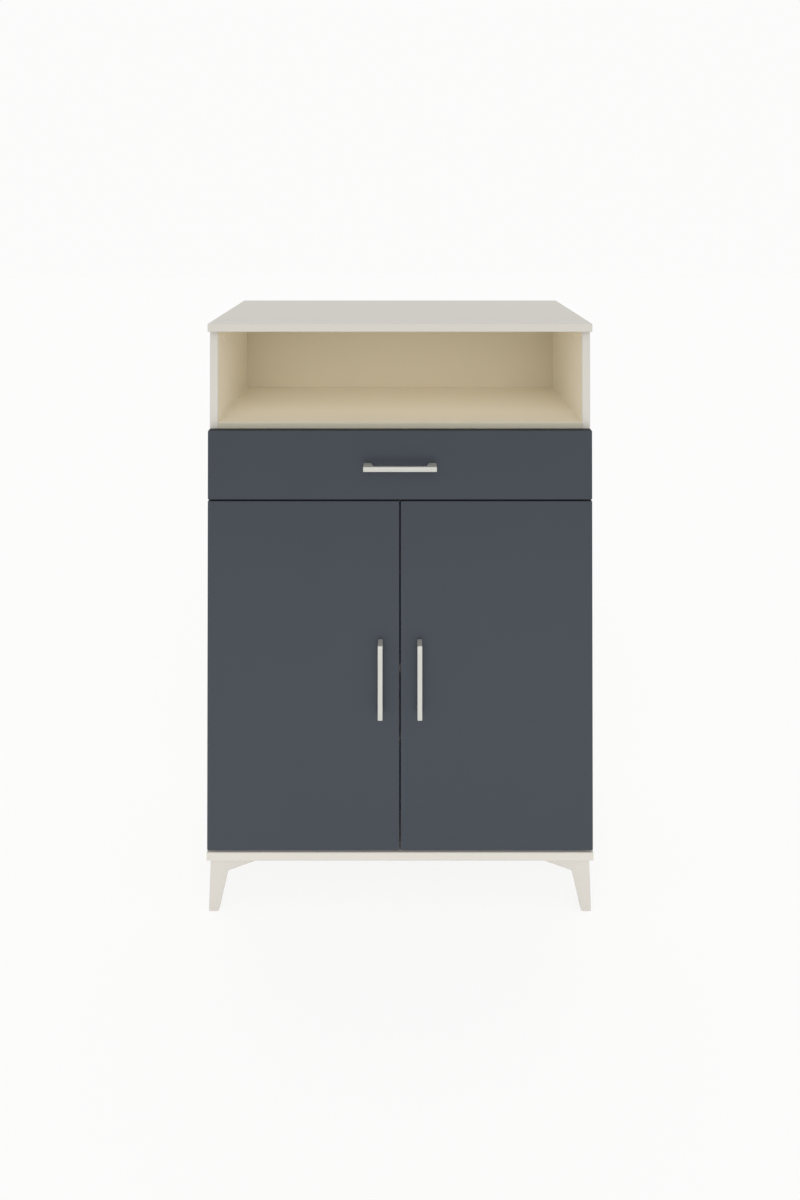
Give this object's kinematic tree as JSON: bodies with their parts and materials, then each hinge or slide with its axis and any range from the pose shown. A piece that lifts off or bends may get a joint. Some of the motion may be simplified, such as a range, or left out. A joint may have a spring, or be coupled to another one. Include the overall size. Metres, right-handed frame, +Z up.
{
  "type": "storage cabinet",
  "caption": "Tall storage cabinet with an open niche over a full-width drawer and a pair of hinged doors, bar handles and splayed moulded corner legs.",
  "frame": {"origin": "on the floor, under the middle of the outer box with the handles", "axes": "+Z up, fronts face -Y, +X to the right of someone facing the fronts"},
  "size_m": [0.75, 0.375, 1.14],
  "materials": {
    "white_board": "off-white melamine",
    "drawer_board": "off-white melamine",
    "dark_board": "anthracite melamine",
    "thin_board": "lacquered hardboard",
    "handle_metal": "satin",
    "leg_plastic": "off-white moulded",
    "hinge_steel": "nickel plated",
    "runner_paint": "white epoxy",
    "roller_nylon": "natural nylon",
    "screw_steel": "zinc plated",
    "cam_zinc": "die-cast zinc",
    "cap_plastic": "off-white",
    "dowel_wood": "beech",
    "bumper_rubber": "soft grey"
  },
  "bodies": {
    "carcass": {"top_panel": "white_board", "bottom_panel": "white_board", "left_side_panel": "white_board", "right_side_panel": "white_board", "niche_floor": "white_board", "drawer_divider": "white_board", "adjustable_shelf": "white_board", "back_panel": "thin_board", "front_left_leg": "leg_plastic", "front_right_leg": "leg_plastic", "rear_left_leg": "leg_plastic", "rear_right_leg": "leg_plastic", "upper_left_hinge_arm": "hinge_steel", "upper_right_hinge_arm": "hinge_steel", "lower_left_hinge_arm": "hinge_steel", "lower_right_hinge_arm": "hinge_steel", "left_hinge_plates": "hinge_steel", "right_hinge_plates": "hinge_steel", "left_cabinet_runner": "runner_paint", "right_cabinet_runner": "runner_paint", "leg_screws": "screw_steel", "hinge_plate_screws": "screw_steel", "cam_bolts": "screw_steel", "shelf_pins": "screw_steel", "cam_locks": "cam_zinc", "cam_caps": "cap_plastic", "dowels": "dowel_wood", "bumpers": "bumper_rubber"},
    "drawer": {"drawer_front": "dark_board", "left_drawer_side": "drawer_board", "right_drawer_side": "drawer_board", "drawer_back": "drawer_board", "drawer_bottom": "thin_board", "drawer_dowels": "dowel_wood", "drawer_back_screws": "screw_steel", "drawer_handle": "handle_metal", "drawer_handle_screws": "screw_steel", "left_drawer_runner": "runner_paint", "right_drawer_runner": "runner_paint"},
    "front_rollers": {"left_front_roller": "roller_nylon", "right_front_roller": "roller_nylon"},
    "rear_rollers": {"left_rear_roller": "roller_nylon", "right_rear_roller": "roller_nylon"},
    "left_door": {"left_door": "dark_board", "left_door_handle": "handle_metal", "left_door_handle_screws": "screw_steel", "upper_left_hinge_cup": "hinge_steel", "lower_left_hinge_cup": "hinge_steel"},
    "right_door": {"right_door": "dark_board", "right_door_handle": "handle_metal", "right_door_handle_screws": "screw_steel", "upper_right_hinge_cup": "hinge_steel", "lower_right_hinge_cup": "hinge_steel"}
  },
  "joints": [
    {"name": "drawer_slide", "type": "slide", "parent": "carcass", "child": "drawer", "axis": [0, -1, 0], "range_m": [0, 0.19]},
    {"name": "left_door_hinge", "type": "hinge", "parent": "carcass", "child": "left_door", "pos_m": [-0.3665, -0.156, 0.45787], "axis": [0, 0, -1], "range_deg": [0, 95]},
    {"name": "right_door_hinge", "type": "hinge", "parent": "carcass", "child": "right_door", "pos_m": [0.3665, -0.156, 0.45787], "axis": [0, 0, 1], "range_deg": [0, 95]},
    {"name": "front_roller_spin", "type": "hinge", "parent": "carcass", "child": "front_rollers", "pos_m": [0, -0.1295, 0.82375], "axis": [1, 0, 0], "continuous": true},
    {"name": "rear_roller_spin", "type": "hinge", "parent": "drawer", "child": "rear_rollers", "pos_m": [0, 0.0915, 0.82375], "axis": [1, 0, 0], "continuous": true}
  ],
  "couplings": [
    {"joint": "front_roller_spin", "follows": "drawer_slide", "rad_per_m": 133.33},
    {"joint": "rear_roller_spin", "follows": "drawer_slide", "rad_per_m": 133.33}
  ]
}
